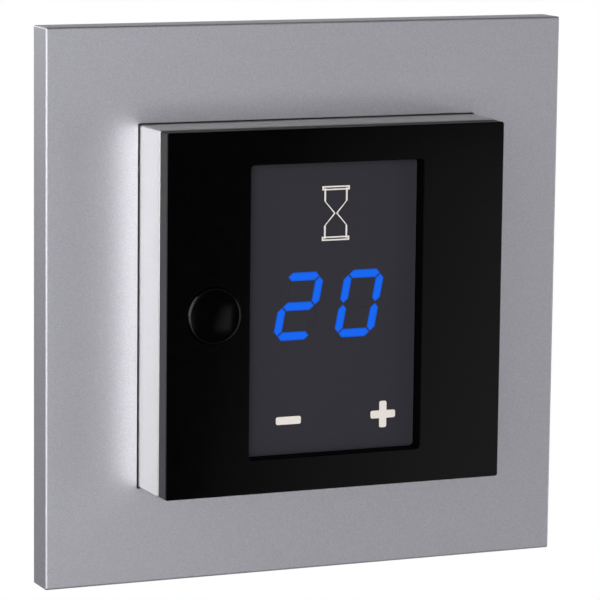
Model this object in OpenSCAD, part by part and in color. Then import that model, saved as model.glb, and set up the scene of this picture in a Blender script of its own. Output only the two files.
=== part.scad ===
// Flush timer light switch. A square cover frame surrounds a raised block with a black
// front, a touch display and a push button. Behind the wall plane a power unit with a
// relay and four wire terminals sits in the wall box.
// X runs to the right, Y into the wall and Z up. The origin is the middle of the wall
// plane, so what the user sees has a negative Y.

/* [Cover frame] */
// Outside width and height of the cover frame
frame_size = 84.8; // [82:0.1:92]
// Depth of the frame, from the wall to its front face
frame_depth = 5.4; // [5.2:0.1:8]
// Thickness of the frame's front skin
frame_skin = 1.8; // [1.2:0.1:2.2]
// Thickness of the frame's outer rim
frame_rim = 2; // [1.2:0.1:3]
// Width of the bevel round the frame's front edge
frame_bevel = 0.25; // [0.1:0.05:0.8]
// Gap between the frame's opening and the block
opening_gap = 0.3; // [0.2:0.05:0.9]
// Thickness of the collar round the frame's opening
collar_wall = 1.2; // [0.8:0.1:2]
// Thickness of the spring clips that hold the frame
clip_t = 0.5; // [0.3:0.05:0.8]

/* [Mounting plate] */
// Width and height of the steel mounting plate
support_size = 71; // [68:0.5:75]
// Thickness of the mounting plate
support_t = 1; // [0.8:0.1:1.4]
// Distance between opposite wall box screws
screw_spacing = 60; // [59:0.25:62]
// Diameter of the wall box screw holes
screw_hole_d = 4.2; // [3.2:0.1:5]
// Width of the bent lugs that take the frame clips
lug_w = 9; // [6:0.5:12]
// Distance of the lugs from the middle of their edge
lug_offset = 15; // [10:0.5:20]

/* [Raised block] */
// Width and height of the block
block_size = 55; // [54:0.25:58]
// Height of the silver skirt in front of the frame
skirt_rise = 8.4; // [7:0.1:12]
// Wall thickness of the skirt
skirt_wall = 1.6; // [1.2:0.1:2]
// Thickness of the black front plate
face_t = 2.85; // [2.4:0.05:4]
// Wall thickness of the front plate's spigot inside the skirt
spigot_wall = 0.9; // [0.6:0.1:1.2]
// Depth of the spigot
spigot_depth = 1.5; // [1:0.1:2.5]
// Diameter of the posts that carry the display board
post_d = 4; // [3.2:0.1:5]

/* [Display window] */
// Width of the window
window_w = 28.2; // [24:0.2:30]
// Height of the window
window_h = 44.5; // [40:0.1:46]
// Depth of the panel's face below the front plate
window_depth = 2.4; // [0.6:0.1:2.6]
// Corner radius of the window
window_corner = 0.6; // [0.3:0.1:2]
// Width of the bevel round the window
window_bevel = 0.15; // [0.1:0.05:0.9]
// Width of the panel's flange behind the front plate
panel_flange = 0.8; // [0.5:0.1:1]
// Thickness of the panel's flange
panel_flange_t = 1.2; // [0.8:0.1:1.8]

/* [Digits and marks] */
// Height of a digit, between the middles of its top and bottom bars
digit_h = 9; // [7:0.1:11]
// Width of a digit, between the middles of its uprights
digit_w = 5.3; // [4:0.1:6]
// Distance between the two digits
digit_pitch = 10; // [9:0.1:11]
// Lean of the digits in degrees
digit_slant = 10.5; // [0:0.5:14]
// Thickness of a digit's segments
segment_t = 1.32; // [0.9:0.02:1.6]
// Width of the hourglass mark
hourglass_w = 4.5; // [3:0.1:8]
// Height of the hourglass mark
hourglass_h = 8.3; // [6:0.1:10]
// Line thickness of the hourglass mark
mark_line = 0.26; // [0.18:0.02:0.4]
// Length of the plus and minus marks
sign_size = 4.1; // [3:0.1:5]
// Thickness of the plus and minus marks
sign_line = 1.2; // [0.8:0.05:1.6]
// Thickness of the printed marks
mark_t = 0.05; // [0.03:0.01:0.1]

/* [Push button] */
// Diameter of the push button
button_d = 8.5; // [7:0.1:9]
// Height of the button's middle above the front plate
button_rise = 0.8; // [0.6:0.05:1.4]
// Height of the button's dome
button_dome = 0.25; // [0.2:0.05:0.55]
// Radial gap round the button
button_gap = 0.12; // [0.08:0.01:0.3]
// Travel of the button
button_travel = 0.5; // [0.3:0.05:0.6]
// Width of the key switch behind the button
switch_w = 6.2; // [5:0.1:7]
// Height of the key switch
switch_h = 3.2; // [2.8:0.1:3.4]
// Diameter of the key switch's plunger
plunger_d = 3.3; // [2.5:0.1:3.6]

/* [Boards] */
// Depth of the digit reflector, from the panel to the display board
reflector_depth = 4.1; // [3.9:0.1:4.6]
// Thickness of the two circuit boards
board_t = 1.6; // [1:0.1:2]
// Distance of the power board's front from the wall plane
power_board_y = 2; // [1.5:0.1:3]
// Number of contact pins between the boards
pin_count = 6; // [3:1:7]
// Distance between contact pins
pin_pitch = 2.54; // [2:0.02:2.54]
// Width of a contact pin
pin_w = 0.64; // [0.4:0.02:0.8]
// Diameter of the self-tapping board screws
board_screw_d = 1.5; // [1.2:0.1:2]
// Diameter of the board screws' heads
board_head_d = 3.2; // [2.6:0.1:3.6]
// Height of the board screws' heads
board_head_t = 1.1; // [0.8:0.1:1.3]

/* [Carrier] */
// Wall thickness of the carrier
carrier_wall = 1.8; // [1.2:0.1:2.4]
// Thickness of the carrier's floor
carrier_floor = 1.5; // [1:0.1:2]
// Width of the snap lugs that hold the skirt
snap_w = 8; // [5:0.5:12]
// Depth of the snap lugs' windows
snap_depth = 1.4; // [1:0.1:1.6]
// Diameter of the carrier screws
carrier_screw_d = 2; // [1.6:0.1:2.4]
// Diameter of the carrier screws' heads
carrier_head_d = 4.4; // [3.6:0.1:5]
// Height of the carrier screws' heads
carrier_head_t = 1.4; // [1:0.1:1.6]
// Length of the carrier screws behind the wall plane
carrier_screw_len = 8; // [6:0.5:9]

/* [Rear housing] */
// Width and height of the rear housing
housing_size = 46; // [45:0.25:50]
// Depth of the rear housing behind the wall plane
housing_depth = 30; // [28.5:0.25:34]
// Wall thickness of the rear housing
housing_wall = 1.6; // [1.2:0.1:2]
// Size of the cut on the rear housing's corners
housing_cut = 6; // [4.5:0.25:6.5]
// Width of the bevel round the rear housing's back
housing_bevel = 1.2; // [0.6:0.1:1.4]
// Diameter of the screw bosses in the corners
boss_d = 5.2; // [4.4:0.1:5.6]
// Length of the screw bosses
boss_len = 12; // [10:0.5:14]

/* [Terminals] */
// Distance between the wire terminals
terminal_pitch = 8; // [7.6:0.1:8.3]
// Diameter of the wire holes
wire_d = 4; // [3:0.1:4.2]
// Width of a clamp cage
cage_w = 6; // [5.6:0.1:6.6]
// Length of a clamp cage along the wire
cage_len = 6; // [5:0.1:7]
// Thickness of a clamp cage's sides
cage_wall = 0.7; // [0.5:0.05:0.9]
// Thickness of a clamp cage's floor
cage_floor = 1.2; // [0.8:0.1:1.5]
// Thickness of a clamp cage's threaded wall
cage_nut = 1.5; // [1.2:0.1:2]
// Travel of a clamp cage
cage_travel = 3; // [2:0.1:3.3]
// Thickness of the contact bars
bar_t = 1.5; // [1:0.1:1.8]
// Diameter of the terminal screws
terminal_screw_d = 3; // [2.5:0.1:3.5]
// Diameter of the terminal screws' heads
terminal_head_d = 5.2; // [4.8:0.1:5.6]
// Height of the terminal screws' heads
terminal_head_t = 1.8; // [1.4:0.1:2.2]
// Width of the slot in the terminal screws
slot_w = 0.8; // [0.6:0.1:1]
// Depth of the slot in the terminal screws
slot_depth = 0.9; // [0.6:0.1:1]

/* [Relay] */
// Length of the relay
relay_l = 22; // [21:0.25:23]
// Width of the relay
relay_w = 13; // [12:0.25:14]
// Height of the relay
relay_h = 16; // [15.5:0.25:18]
// Wall thickness of the relay's cover
relay_wall = 0.8; // [0.5:0.05:1]
// Thickness of the relay's base
relay_base_t = 2; // [1.5:0.1:2.5]
// Thickness of the relay's iron parts
iron_t = 1.2; // [1:0.05:1.4]
// Diameter of the relay's coil
coil_d = 8.2; // [7:0.1:9]
// Length of the relay's coil between its flanges
coil_len = 7.2; // [6:0.1:7.8]
// Diameter of the relay's core
core_d = 3.6; // [3:0.1:4]
// Air gap between the core and the open armature
air_gap = 0.65; // [0.6:0.05:0.9]
// Angle that the armature turns to close
armature_angle = 4.5; // [4:0.1:4.8]

/* [Power parts] */
// Length of the film capacitor
film_l = 16; // [12:0.5:18]
// Width of the film capacitor
film_w = 5.6; // [4:0.1:6]
// Height of the film capacitor
film_h = 11; // [8:0.5:14]
// Diameter of the storage capacitor
can_d = 6; // [4:0.1:6.2]
// Height of the storage capacitor
can_h = 11; // [8:0.5:14]
// Diameter of the varistor disc
varistor_d = 9; // [7:0.5:10]
// Thickness of the varistor disc
varistor_t = 3.5; // [2.5:0.1:4]
// Length of the fuse
fuse_l = 10; // [8:0.5:12]
// Diameter of the fuse
fuse_d = 3.6; // [3:0.1:4]
// Width of the transformer
transformer_w = 8; // [7.4:0.1:8.4]
// Height of the transformer
transformer_h = 12; // [10:0.5:15]
// Depth of the transformer's core
transformer_core_z = 5; // [4:0.1:6]

/* [Hidden] */
$fn = 48;
dome_fn = 200;

// Clearances
cut = 1;              // overrun of a cut past the face that it opens
seat_clear = 0.05;    // round pieces that are set into a seat
slide_clear = 0.1;    // pieces that slide or snap into each other
free_clear = 0.2;     // ends of moving pieces
board_clear = 0.4;    // boards and the walls round them
thread_clear = 0.03;  // a screw in its pilot hole

// Depths of the front, from the wall outwards
front_y = -frame_depth;
skin_y = front_y + frame_skin;
seat_y = front_y - skirt_rise;
face_y = seat_y - face_t;
panel_y = face_y + window_depth;
panel_back_y = seat_y + panel_flange_t;
board_y = panel_back_y + reflector_depth;
board_back_y = board_y + board_t;
carrier_y = board_back_y + board_head_t + board_clear;
carrier_floor_y = -support_t - carrier_floor;
collar_end_y = -support_t - board_clear;

// Depths of the rear, from the wall inwards
power_back_y = power_board_y + board_t;
rear_wall_y = housing_depth - housing_wall;
head_back_y = rear_wall_y - free_clear;
head_y = head_back_y - terminal_head_t;
cage_back_y = head_y - free_clear - cage_travel;
bar_back_y = cage_back_y - cage_nut - free_clear;
bar_y = bar_back_y - bar_t;
wire_room = wire_d + 2 * free_clear;
cage_y = bar_y - wire_room - cage_floor;
wire_y = bar_y - wire_room / 2;

// Widths of the front
opening_size = block_size + 2 * opening_gap;
collar_size = opening_size + 2 * collar_wall;
skirt_inner = block_size - 2 * skirt_wall;
flange_w = window_w + 2 * panel_flange;
flange_h = window_h + 2 * panel_flange;
spigot_size = skirt_inner - 2 * seat_clear;
post_at = spigot_size / 2 - spigot_wall / 2 - post_d / 2;
display_board_size = skirt_inner - 2 * board_clear;
carrier_size = skirt_inner - 2 * slide_clear;
lug_at = support_size / 2 - support_t / 2;
snap_y = -support_t - snap_depth - carrier_floor / 2;

// Widths of the rear
housing_sum = housing_size - housing_cut;
inner_half = housing_size / 2 - housing_wall;
inner_sum = housing_sum - housing_wall * sqrt(2);
boss_at = inner_sum / 2 - boss_d / 3;
power_half = inner_half - board_clear;
power_sum = 2 * boss_at - (boss_d / 2 + board_clear) * sqrt(2);
cutout_rim = 2.4;
cutout_half = inner_half - cutout_rim;
cutout_sum = 2 * boss_at - carrier_head_d;
stand_d = 4.4;

// Digits. A segment is its middle, as a share of the digit, and whether it stands upright.
digits_at = [-0.25, 0.36];
segment_gap = 0.1;
SEGMENTS = [[0, 0.5, false], [0.5, 0.25, true], [0.5, -0.25, true], [0, -0.5, false],
    [-0.5, -0.25, true], [-0.5, 0.25, true], [0, 0, false]];
LIT = [[0, 1, 3, 4, 6], [0, 1, 2, 3, 4, 5]];
UNLIT = [[2, 5], [6]];
EVERY = [[0, 1, 2, 3, 4, 5, 6], [0, 1, 2, 3, 4, 5, 6]];
led_w = 0.8;
led_t = 0.6;
reflector_wall = 1;

// Places of the marks on the panel
hourglass_at = [0.68, 14.27];
plus_at = [8.95, -17.03];
minus_at = [-6.73, -17.03];
bar_mark_h = 0.64;
bar_line = 0.22;
shoulder_share = 0.23;
glass_inset = 0.35;
neck_half = 0.3;
sign_corner = 0.3;
touch_pad_d = 6;

// Push button and key switch
button_at = [-(skirt_inner + window_w) / 4, 0];
button_lug = 0.5;
button_lug_w = 5;
button_lug_t = 0.8;
stem_d = 4.4;
switch_front_y = board_y - switch_h;
plunger_y = switch_front_y - button_travel - free_clear;
switch_roof = 1;
switch_floor = 0.5;
plunger_flange = 0.6;
plunger_flange_t = 0.4;
dome_h = 0.5;

// Boards
header_at = [12, 0];
header_w = 2.5;
header_t = 2;
header_len = pin_count * pin_pitch;
pin_end_gap = 1;
socket_y = board_back_y + header_t + free_clear;
pilot_depth = 4;
chip_t = 1.2;
CHIPS = [[[-6, 8], [9, 9]], [[-6, -7], [5, 8]], [[3, -14], [3, 3]]];

// Terminals
terminal_x = [for (i = [0:3]) (i - 1.5) * terminal_pitch];
cage_margin = 1;
cage_z = cage_margin - inner_half;
cage_inner = cage_w - 2 * cage_wall;
bar_w = cage_inner - 4 * slide_clear;
bar_leg_z = cage_z + cage_len + bar_t;
rib_w = terminal_pitch - cage_w - 2 * slide_clear;
guide_w = cage_w - 2 * slide_clear;
guide_wall = 1.2;
guide_y_size = wire_d + 2 * guide_wall;
guide_flange = 0.6;
guide_inner_z = cage_z - free_clear * 2;
access_lip = 0.3;
access_d = terminal_head_d - 2 * access_lip;
stand_at = [inner_half - stand_d / 2 + board_clear, bar_leg_z + stand_d];

// Places of the power parts on the power board, from its top edge down
part_gap = 0.6;
film_at = [film_l / 2 + part_gap + boss_d / 2 - boss_at, power_half - part_gap - film_w / 2];
can_at = [film_at[0] + film_l / 2 + part_gap + can_d / 2, power_half - part_gap - can_d / 2];

// Relay, measured from the left end of its base
relay_inset = 4;
relay_at = [relay_inset - power_half, film_at[1] - film_w / 2 - part_gap - relay_w / 2];
coil_at = 13;
leg_at = 18.2;
pivot_at = leg_at + iron_t / 2;
pivot_d = 0.8;
flange_t = 0.8;
relay_floor = power_back_y + relay_base_t;
bobbin_y = relay_floor + iron_t;
core_stand = 0.4;
core_top_y = bobbin_y + coil_len + 2 * flange_t + core_stand;
armature_y = core_top_y + air_gap;
armature_t = 1;
armature_w = 6;
contact_at = 3.2;
contact_d = 2.4;
contact_t = 0.7;
contact_spread = 2.6;
blade_t = 0.3;
blade_y = armature_y + armature_t;
contact_drop = (pivot_at - contact_at + contact_d / 2) * sin(armature_angle);
fixed_contact_y = blade_y - contact_t - contact_drop - free_clear / 2;

// Power parts beside and below the relay
transformer_at = [relay_at[0] + relay_l + 2 * part_gap + transformer_w / 2, relay_at[1]];
low_z = relay_at[1] - relay_w / 2 - part_gap;
varistor_at = [relay_at[0] + varistor_d, low_z - varistor_t / 2];
fuse_at = [varistor_at[0] + varistor_d / 2 + part_gap + fuse_l, low_z - fuse_d / 2 - part_gap];
lead_w = 0.8;
lead_stand = 1.5;
fuse_cap = 2;
fuse_cap_step = 0.2;
leg_w = 1.4;
transformer_yoke = 2;

// A block centred on X and Z between two depths
module slab(x_size, z_size, y_from, y_to) {
    translate([-x_size / 2, y_from, -z_size / 2]) cube([x_size, y_to - y_from, z_size]);
}

// A round rod along Y between two depths
module rod(diameter, y_from, y_to) {
    translate([0, y_from, 0]) rotate([-90, 0, 0]) cylinder(h = y_to - y_from, d = diameter);
}

// A flat outline, drawn in X and Z, between two depths
module prism(y_from, y_to) {
    translate([0, y_to, 0]) rotate([90, 0, 0]) linear_extrude(y_to - y_from) children();
}

module at(place) {
    translate([place[0], 0, place[1]]) children();
}

module at_corners(distance) {
    for (x = [-distance, distance], z = [-distance, distance]) at([x, z]) children();
}

module on_four_sides() {
    for (turn = [0:90:270]) rotate([0, turn, 0]) children();
}

// A block with four rounded corners
module soft_slab(x_size, z_size, corner, y_from, y_to) {
    slab(x_size - 2 * corner, z_size, y_from, y_to);
    slab(x_size, z_size - 2 * corner, y_from, y_to);
    for (x = [-1, 1], z = [-1, 1])
        at([x * (x_size / 2 - corner), z * (z_size / 2 - corner)]) rod(2 * corner, y_from, y_to);
}

// A square with cut corners: half its width, and the most that X and Z add up to
module octagon(half, sum) {
    side = sum - half;
    polygon([[half, side], [side, half], [-side, half], [-half, side],
        [-half, -side], [-side, -half], [side, -half], [half, -side]]);
}

// A bevel cutter along the front edge at a height z
module bevel_cut(length, width, y, z) {
    translate([0, y, z]) rotate([45, 0, 0])
        cube([length, width * sqrt(2), width * sqrt(2)], center = true);
}

module cover_frame() {
    color([0.66, 0.66, 0.69]) difference() {
        slab(frame_size, frame_size, front_y, 0);
        difference() {
            slab(frame_size - 2 * frame_rim, frame_size - 2 * frame_rim, skin_y, cut);
            slab(collar_size, collar_size, front_y, collar_end_y);
        }
        slab(opening_size, opening_size, front_y - cut, cut);
        on_four_sides() bevel_cut(frame_size + cut, frame_bevel, front_y, frame_size / 2);
    }
}

// A spring clip grips each lug on both sides and is fixed behind the frame's skin
module frame_clip() {
    clip_end_y = -support_t - board_clear;
    difference() {
        slab(lug_w - 2 * clip_t, support_t + 2 * clip_t, skin_y, clip_end_y);
        slab(lug_w, support_t, skin_y + clip_t, clip_end_y + cut);
    }
}

module frame_clips() {
    color([0.55, 0.56, 0.58])
        for (x = [-lug_offset, lug_offset], z = [-lug_at, lug_at]) at([x, z]) frame_clip();
}

module mounting_plate() {
    color([0.72, 0.73, 0.75]) union() {
        difference() {
            slab(support_size, support_size, -support_t, 0);
            prism(-support_t - cut, cut) octagon(cutout_half, cutout_sum);
            on_four_sides() at([0, screw_spacing / 2]) rod(screw_hole_d, -support_t - cut, cut);
            at_corners(boss_at) rod(carrier_screw_d + 4 * free_clear, -support_t - cut, cut);
        }
        for (x = [-lug_offset, lug_offset], z = [-lug_at, lug_at])
            at([x, z]) slab(lug_w, support_t, skin_y + clip_t + free_clear, -support_t);
    }
}

module block_skirt() {
    color([0.86, 0.86, 0.88]) difference() {
        slab(block_size, block_size, seat_y, -support_t);
        slab(skirt_inner, skirt_inner, seat_y - cut, cut);
        on_four_sides() at([0, block_size / 2])
            slab(snap_w, 2 * skirt_wall + cut, snap_y, snap_y + snap_depth);
    }
}

module front_plate() {
    spigot_inner = spigot_size - 2 * spigot_wall;
    spigot_end_y = seat_y + spigot_depth;
    color([0.03, 0.03, 0.035]) difference() {
        union() {
            slab(block_size, block_size, face_y, seat_y);
            difference() {
                slab(spigot_size, spigot_size, seat_y, spigot_end_y);
                slab(spigot_inner, spigot_inner, seat_y - cut, spigot_end_y + cut);
                slab(flange_w + 2 * free_clear, flange_h + 2 * free_clear, seat_y, spigot_end_y + cut);
                at(button_at) rod(button_d + 2 * free_clear, seat_y, spigot_end_y + cut);
            }
            at_corners(post_at) rod(post_d, seat_y, board_y);
        }
        soft_slab(window_w, window_h, window_corner, face_y - cut, seat_y + cut);
        for (turn = [0, 180]) rotate([0, turn, 0]) {
            bevel_cut(window_w, window_bevel, face_y, window_h / 2);
            rotate([0, 90, 0]) bevel_cut(window_h, window_bevel, face_y, window_w / 2);
        }
        at(button_at) rod(button_d + 2 * button_gap, face_y - cut, seat_y + cut);
        at_corners(post_at) rod(board_screw_d, board_y - pilot_depth, board_y + cut);
    }
}

// The six corners of a segment, leaning with the digit
function segment_points(digit, index, room) =
    let (
        part = SEGMENTS[index],
        middle = [part[0] * digit_w, part[1] * digit_h],
        half = (part[2] ? digit_h / 2 : digit_w) / 2 - segment_gap + room,
        edge = segment_t / 2 + room,
        flat = [[-half, 0], [edge - half, edge], [half - edge, edge],
            [half, 0], [half - edge, -edge], [edge - half, -edge]],
        x_digit = digits_at[0] + (digit - 0.5) * digit_pitch
    )
    [for (p = flat)
        let (across = part[2] ? p[1] : p[0], up = (part[2] ? p[0] : p[1]) + middle[1])
        [x_digit + middle[0] + across + up * tan(digit_slant), digits_at[1] + up]];

// Segments of both digits between two depths. Room makes them larger all round.
module segments(lists, room, y_from, y_to) {
    for (digit = [0, 1], index = lists[digit])
        prism(y_from, y_to) polygon(segment_points(digit, index, room));
}

module display_panel() {
    color([0.2, 0.19, 0.22]) difference() {
        union() {
            soft_slab(window_w - 2 * seat_clear, window_h - 2 * seat_clear, window_corner,
                panel_y, seat_y);
            slab(flange_w, flange_h, seat_y, panel_back_y);
        }
        segments(EVERY, 0, panel_y - cut, panel_back_y + cut);
        at(button_at) rod(button_d + 2 * free_clear, seat_y, panel_back_y + cut);
        at_corners(post_at) rod(post_d + 2 * free_clear, seat_y, panel_back_y + cut);
    }
}

module lit_segments() {
    color([0.1, 0.4, 0.95]) segments(LIT, -thread_clear / 2, panel_y, panel_back_y);
}

module unlit_segments() {
    color([0.19, 0.18, 0.22]) segments(UNLIT, -thread_clear / 2, panel_y, panel_back_y);
}

// Outline of one half of the glass, from the top bar down to the bottom bar
function glass_side(shrink) =
    let (
        half = hourglass_w / 2 - glass_inset - shrink,
        top = (hourglass_h - bar_mark_h) / 2,
        shoulder = hourglass_h * shoulder_share - shrink / 2
    )
    [[half, top], [half, shoulder], [neck_half - shrink, 0], [half, -shoulder], [half, -top]];

module glass_shape(shrink) {
    right = glass_side(shrink);
    left = [for (i = [4:-1:0]) [-right[i][0], right[i][1]]];
    polygon(concat(right, left));
}

module hourglass_shape() {
    difference() {
        glass_shape(0);
        glass_shape(mark_line);
    }
    for (side = [-1, 1]) translate([0, side * (hourglass_h - bar_mark_h) / 2]) difference() {
        square([hourglass_w, bar_mark_h], center = true);
        square([hourglass_w - 2 * mark_line, bar_mark_h - 2 * bar_line], center = true);
    }
}

module hourglass_mark() {
    color([0.9, 0.88, 0.86])
        at(hourglass_at) prism(panel_y - mark_t, panel_y) hourglass_shape();
}

module sign_bar(x_size, z_size) {
    soft_slab(x_size, z_size, sign_corner, panel_y - mark_t, panel_y);
}

module touch_marks() {
    color([0.9, 0.88, 0.86]) {
        at(minus_at) sign_bar(sign_size, sign_line);
        at(plus_at) union() {
            sign_bar(sign_size, sign_line);
            sign_bar(sign_line, sign_size);
        }
    }
}

// Two lugs behind the front plate keep the button in its hole
module push_button() {
    rim_y = face_y - button_rise + button_dome;
    dome_r = (pow(button_d / 2, 2) + pow(button_dome, 2)) / (2 * button_dome);
    lug_y = seat_y + seat_clear;
    lug_end_y = lug_y + button_lug_t;
    color([0.03, 0.03, 0.035]) at(button_at) union() {
        rod(button_d, rim_y, lug_end_y);
        intersection() {
            rod(button_d, rim_y - button_dome - cut, rim_y + cut / 2);
            translate([0, rim_y - button_dome + dome_r, 0]) sphere(r = dome_r, $fn = dome_fn);
        }
        intersection() {
            rod(button_d + 2 * button_lug, lug_y, lug_end_y);
            slab(button_lug_w, button_d + 2 * button_lug + cut, lug_y, lug_end_y);
        }
        rod(stem_d, lug_y, plunger_y - thread_clear);
    }
}

module switch_plunger() {
    flange_y = switch_front_y + switch_roof + seat_clear;
    color([0.75, 0.72, 0.65]) at(button_at) union() {
        rod(plunger_d, plunger_y, flange_y + plunger_flange_t);
        rod(plunger_d + 2 * plunger_flange, flange_y, flange_y + plunger_flange_t);
    }
}

module switch_body() {
    room_d = plunger_d + 2 * plunger_flange + 4 * seat_clear;
    color([0.12, 0.12, 0.13]) at(button_at) difference() {
        slab(switch_w, switch_w, switch_front_y, board_y);
        rod(plunger_d + 2 * seat_clear, switch_front_y - cut, board_y - switch_floor);
        rod(room_d, switch_front_y + switch_roof, board_y - switch_floor);
    }
}

// The contact dome is drawn as it lies when the button is pressed
module switch_dome() {
    dome_d = plunger_d + plunger_flange;
    dome_r = (pow(dome_d / 2, 2) + pow(dome_h, 2)) / (2 * dome_h);
    floor_y = board_y - switch_floor;
    color([0.8, 0.8, 0.78]) at(button_at) intersection() {
        rod(dome_d, floor_y - dome_h - cut, floor_y);
        translate([0, floor_y - dome_h + dome_r, 0]) sphere(r = dome_r, $fn = dome_fn);
    }
}

module display_board() {
    color([0.1, 0.35, 0.2]) difference() {
        slab(display_board_size, display_board_size, board_y, board_back_y);
        at_corners(post_at) rod(board_screw_d + 2 * free_clear, board_y - cut, board_back_y + cut);
    }
}

module digit_reflector() {
    lean = digit_h * tan(digit_slant);
    width = digit_pitch + digit_w + segment_t + lean + 2 * reflector_wall;
    height = digit_h + segment_t + 2 * reflector_wall;
    color([0.85, 0.85, 0.85]) difference() {
        at(digits_at) slab(width, height, panel_back_y, board_y);
        segments(EVERY, 0, panel_back_y - cut, board_y + cut);
    }
}

module digit_leds() {
    color([0.9, 0.85, 0.6]) for (digit = [0, 1], index = EVERY[digit]) {
        points = segment_points(digit, index, 0);
        at((points[0] + points[3]) / 2) slab(led_w, led_w, board_y - led_t, board_y);
    }
}

module touch_pads() {
    color([0.15, 0.15, 0.16]) {
        at(plus_at) rod(touch_pad_d, panel_back_y, board_y);
        at(minus_at) rod(touch_pad_d, panel_back_y, board_y);
    }
}

module display_chips() {
    color([0.08, 0.08, 0.09]) for (chip = CHIPS)
        at(chip[0]) slab(chip[1][0], chip[1][1], board_back_y, board_back_y + chip_t);
}

module at_pins() {
    for (i = [0:pin_count - 1])
        at([header_at[0], header_at[1] + (i - (pin_count - 1) / 2) * pin_pitch]) children();
}

module pin_header() {
    color([0.1, 0.1, 0.11]) union() {
        at(header_at) slab(header_w, header_len, board_back_y, board_back_y + header_t);
        at_pins() slab(pin_w, pin_w, board_back_y, power_board_y - pin_end_gap);
    }
}

module header_socket() {
    color([0.12, 0.12, 0.14]) difference() {
        at(header_at) slab(header_w, header_len, socket_y, power_board_y);
        at_pins() slab(pin_w + 2 * slide_clear, pin_w + 2 * slide_clear,
            socket_y - cut, power_board_y - pin_end_gap / 2);
    }
}

// A screw with its head in front of a face and its shank behind that face
module screw(head_d, head_t, shank_d, length) {
    rod(head_d, -head_t, 0);
    rod(shank_d, -head_t / 2, length);
}

module board_screws() {
    color([0.7, 0.7, 0.7]) at_corners(post_at) translate([0, board_back_y, 0])
        mirror([0, 1, 0]) screw(board_head_d, board_head_t, board_screw_d - 2 * thread_clear,
            board_t + pilot_depth - free_clear);
}

module carrier() {
    inner = carrier_size - 2 * carrier_wall;
    color([0.16, 0.16, 0.17]) union() {
        difference() {
            slab(carrier_size, carrier_size, carrier_y, -support_t);
            slab(inner, inner, carrier_y - cut, carrier_floor_y);
            prism(carrier_floor_y - cut, cut) octagon(cutout_half, cutout_sum);
            at_corners(boss_at)
                rod(carrier_screw_d + 4 * free_clear, carrier_floor_y - cut, cut);
        }
        on_four_sides() at([0, carrier_size / 2])
            slab(snap_w - 2 * slide_clear, skirt_wall + slide_clear,
                snap_y + slide_clear, snap_y + snap_depth - slide_clear);
    }
}

module carrier_screws() {
    color([0.7, 0.7, 0.7]) at_corners(boss_at) translate([0, carrier_floor_y, 0])
        screw(carrier_head_d, carrier_head_t, carrier_screw_d - 2 * thread_clear,
            carrier_screw_len - carrier_floor_y);
}

module rear_housing() {
    rib_y = cage_y - board_clear;
    rib_z = cage_z + cage_len;
    color([0.88, 0.88, 0.86]) difference() {
        union() {
            difference() {
                prism(0, housing_depth) octagon(housing_size / 2, housing_sum);
                prism(-cut, rear_wall_y) octagon(inner_half, inner_sum);
            }
            intersection() {
                prism(0, housing_depth) octagon(housing_size / 2, housing_sum);
                union() {
                    at_corners(boss_at) rod(boss_d, 0, boss_len);
                    for (side = [-1, 1]) at([side * stand_at[0], stand_at[1]])
                        rod(stand_d, power_back_y, rear_wall_y + housing_wall / 2);
                    for (i = [0:4]) translate([(i - 2) * terminal_pitch, 0, 0])
                        translate([-rib_w / 2, rib_y, -housing_size / 2])
                            cube([rib_w, housing_depth - rib_y, rib_z + housing_size / 2]);
                }
            }
        }
        on_four_sides() {
            bevel_cut(housing_size, housing_bevel, housing_depth, housing_size / 2);
            rotate([0, 45, 0])
                bevel_cut(housing_size, housing_bevel, housing_depth, housing_sum / sqrt(2));
        }
        at_corners(boss_at) rod(carrier_screw_d, -cut, carrier_screw_len + pilot_depth / 2);
        for (side = [-1, 1]) at([side * stand_at[0], stand_at[1]])
            rod(board_screw_d, power_back_y - cut, power_back_y + pilot_depth);
        for (x = terminal_x) {
            at([x, cage_z + cage_len / 2]) rod(access_d, rear_wall_y - cut / 2, housing_depth + cut);
            translate([x, wire_y, -housing_size / 2])
                cube([guide_w + 2 * seat_clear, guide_y_size + 2 * seat_clear, 4 * housing_wall],
                    center = true);
        }
    }
}

module power_board() {
    color([0.1, 0.35, 0.2]) difference() {
        prism(power_board_y, power_back_y) octagon(power_half, power_sum);
        for (side = [-1, 1]) at([side * stand_at[0], stand_at[1]])
            rod(board_screw_d + 2 * free_clear, power_board_y - cut, power_back_y + cut);
    }
}

module power_board_screws() {
    color([0.7, 0.7, 0.7]) for (side = [-1, 1]) at([side * stand_at[0], stand_at[1]])
        translate([0, power_board_y, 0]) screw(board_head_d, board_head_t,
            board_screw_d - 2 * thread_clear, board_t + pilot_depth - free_clear);
}

// Each wire enters from below through a guide that is held in the housing's bottom wall
module wire_guides() {
    bottom = -housing_size / 2;
    color([0.8, 0.8, 0.78]) for (x = terminal_x) translate([x, wire_y, 0]) difference() {
        union() {
            translate([-guide_w / 2, -guide_y_size / 2, bottom])
                cube([guide_w, guide_y_size, guide_inner_z - bottom]);
            translate([-guide_w / 2, -guide_y_size / 2 - guide_flange, -inner_half])
                cube([guide_w, guide_y_size + 2 * guide_flange, guide_inner_z + inner_half]);
        }
        translate([0, 0, bottom - cut]) cylinder(h = 2 * cut + guide_inner_z - bottom, d = wire_d);
    }
}

// The wire is pulled against the underside of its bar, and the bar's leg ends on the board
module terminal_bars() {
    color([0.8, 0.65, 0.3]) for (x = terminal_x) translate([x - bar_w / 2, 0, 0]) union() {
        translate([0, bar_y, cage_z + free_clear])
            cube([bar_w, bar_t, bar_leg_z - cage_z - free_clear]);
        translate([0, power_back_y, bar_leg_z - bar_t])
            cube([bar_w, bar_back_y - power_back_y, bar_t]);
    }
}

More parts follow.
